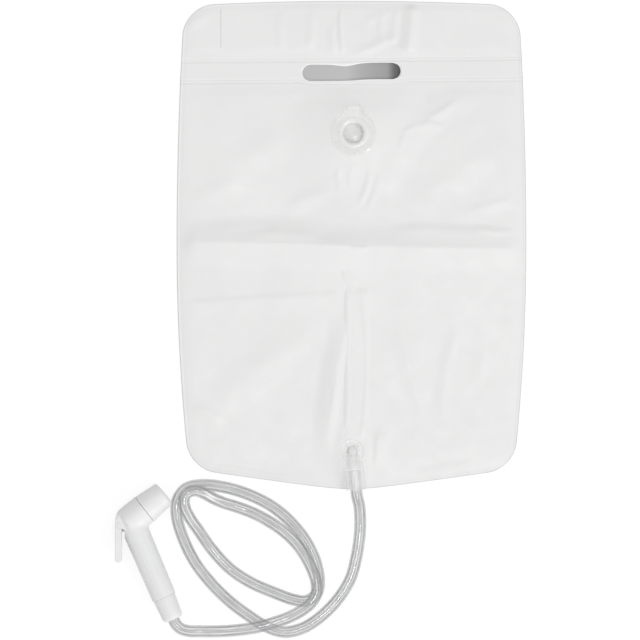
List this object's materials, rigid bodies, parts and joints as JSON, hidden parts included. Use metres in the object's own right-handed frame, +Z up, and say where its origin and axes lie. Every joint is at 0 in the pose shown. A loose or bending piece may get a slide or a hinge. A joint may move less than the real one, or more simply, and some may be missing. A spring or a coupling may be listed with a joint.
{
  "type": "camp shower bag",
  "caption": "Flat film water bag with hand slot, fill valve and foot outlet, a long clear hose and a sprung-lever spray handset.",
  "frame": {"origin": "centre of the bag's back face, on the ground", "axes": "+Z up out of the bag's front film, +Y from the foot to the header, +X to the right seen from the front"},
  "size_m": [0.4315, 0.6686, 0.0326],
  "materials": {
    "film": "white frosted soft PVC film",
    "clear_valve": "clear soft PVC, slightly yellow",
    "clear_hose": "clear soft PVC tube",
    "white_shell": "white satin moulded plastic",
    "rubber": "black seal rubber",
    "brass": "turned brass",
    "steel": "stainless steel"
  },
  "bodies": {
    "bag": {"rear_panel": "film", "front_panel": "film", "header_stiffener": "film", "drain_channel": "film", "fill_base": "clear_valve", "outlet_stub": "clear_valve", "hose": "clear_hose", "handset_body": "white_shell", "tail_nut": "white_shell", "grip_ring": "white_shell", "stem_seal": "rubber", "hose_seal": "rubber", "gland_nut": "brass", "valve_cage": "brass", "valve_seat": "brass", "lever_pin": "steel", "return_spring": "steel"},
    "plug": {"fill_plug": "clear_valve"},
    "lever": {"lever": "white_shell"},
    "stem": {"valve_stem": "steel", "valve_disc": "rubber"},
    "cap": {"nose_cap": "white_shell", "spray_plate": "white_shell", "plate_seal": "rubber"}
  },
  "joints": [
    {"name": "plug_hinge", "type": "hinge", "parent": "bag", "child": "plug", "pos_m": [0.002, 0.1445, 0.0141], "axis": [-1, 0, 0], "range_deg": [0, 165]},
    {"name": "lever_hinge", "type": "hinge", "parent": "bag", "child": "lever", "pos_m": [-0.24428, -0.29219, 0.0163], "axis": [0, 0, 1], "range_deg": [0, 10], "stiffness_Nm_per_rad": 0.3, "springref_deg": -2.86},
    {"name": "stem_slide", "type": "slide", "parent": "bag", "child": "stem", "axis": [1, 0, 0], "range_m": [0, 0.0012], "deforming": ["return_spring"]},
    {"name": "nose_twist", "type": "hinge", "parent": "bag", "child": "cap", "pos_m": [-0.20749, -0.26957, 0.0163], "axis": [0.7837, 0.6212, 0], "range_deg": [0, 90]}
  ],
  "couplings": [
    {"joint": "stem_slide", "follows": "lever_hinge", "m_per_rad": 0.0065}
  ]
}
